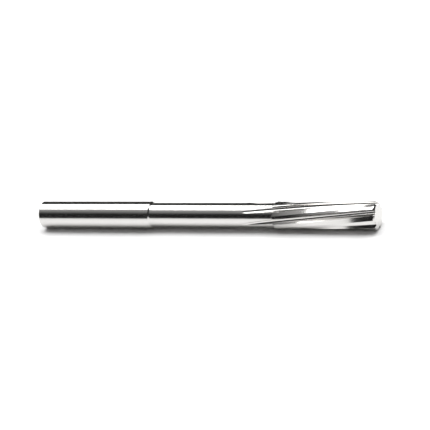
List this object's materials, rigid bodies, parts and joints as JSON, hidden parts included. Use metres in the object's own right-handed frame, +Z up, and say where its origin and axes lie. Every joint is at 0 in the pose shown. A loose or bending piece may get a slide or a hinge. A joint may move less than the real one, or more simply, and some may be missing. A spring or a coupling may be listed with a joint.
{
  "type": "machine reamer",
  "caption": "Straight-shank machine reamer with a relieved neck, left-hand helical flutes for a right-hand cut, and a short lead chamfer at the tip.",
  "frame": {"origin": "centre of the shank's flat back face, on the tool's axis", "axes": "+X along the axis towards the cutting end, +Z up, +Y completes the right-handed frame"},
  "size_m": [0.133, 0.01, 0.01],
  "materials": {
    "ground_tool": "bright cylindrical grinding, fine rings round the axis"
  },
  "bodies": {
    "root": {"reamer": "ground_tool"}
  },
  "joints": []
}
